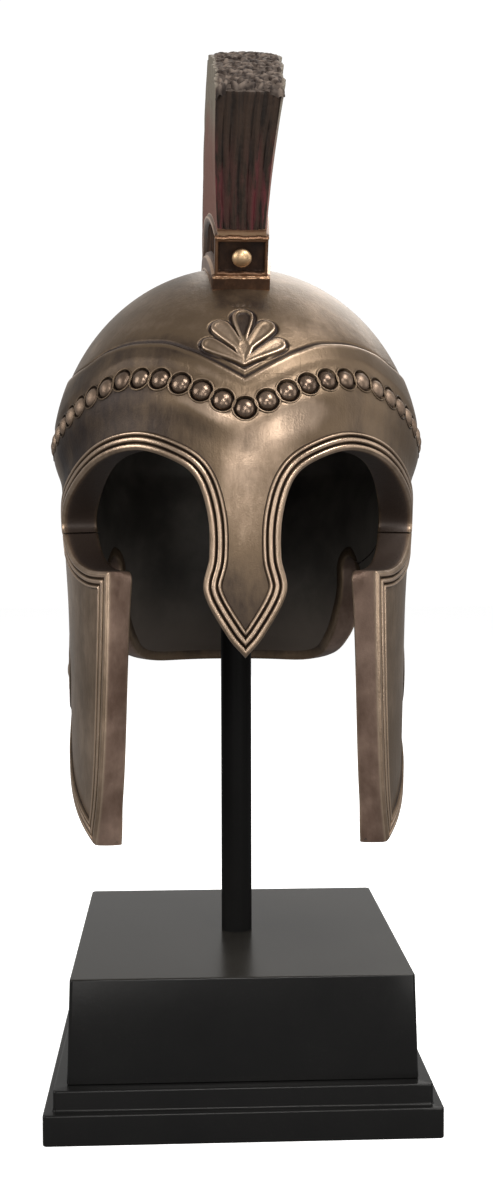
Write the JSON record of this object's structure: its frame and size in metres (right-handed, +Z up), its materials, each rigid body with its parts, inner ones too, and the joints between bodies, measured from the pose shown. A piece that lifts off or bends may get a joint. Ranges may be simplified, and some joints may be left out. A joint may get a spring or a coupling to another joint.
{
  "type": "greek helmet on display stand",
  "caption": "Half-size display copy of an ancient open-faced helmet with nasal, cheek pieces and upright crest, held on a rod above a square plinth.",
  "frame": {"origin": "middle of the plinth's underside", "axes": "+Z up along the rod; the face looks towards -Y; +X is on the viewer's right"},
  "size_m": [0.0948, 0.1477, 0.2631],
  "materials": {
    "bronze": "bronze-coloured cold casting, rubbed bright on raised edges and dark in the hollows",
    "plinth_black": "satin black paint on wood",
    "rod_black": "semi-gloss black paint on steel",
    "gold": "rubbed gold",
    "plume": "cast hair strands, dark brown with crimson in the grooves"
  },
  "bodies": {
    "root": {"plinth_foot": "plinth_black", "plinth_block": "plinth_black", "rod": "rod_black", "skull": "bronze", "cheek_right": "bronze", "cheek_left": "bronze", "bead_middle": "bronze", "bead_right_01": "bronze", "bead_right_02": "bronze", "bead_right_03": "bronze", "bead_right_04": "bronze", "bead_right_05": "bronze", "bead_right_06": "bronze", "bead_right_07": "bronze", "bead_right_08": "bronze", "bead_right_09": "bronze", "bead_right_10": "bronze", "bead_right_11": "bronze", "bead_right_12": "bronze", "bead_right_13": "bronze", "bead_right_14": "bronze", "bead_right_15": "bronze", "bead_right_16": "bronze", "bead_right_17": "bronze", "bead_right_18": "bronze", "bead_left_01": "bronze", "bead_left_02": "bronze", "bead_left_03": "bronze", "bead_left_04": "bronze", "bead_left_05": "bronze", "bead_left_06": "bronze", "bead_left_07": "bronze", "bead_left_08": "bronze", "bead_left_09": "bronze", "bead_left_10": "bronze", "bead_left_11": "bronze", "bead_left_12": "bronze", "bead_left_13": "bronze", "bead_left_14": "bronze", "bead_left_15": "bronze", "bead_left_16": "bronze", "bead_left_17": "bronze", "bead_left_18": "bronze", "crest_holder": "bronze", "crest_rivet": "gold", "plume": "plume"}
  },
  "joints": []
}
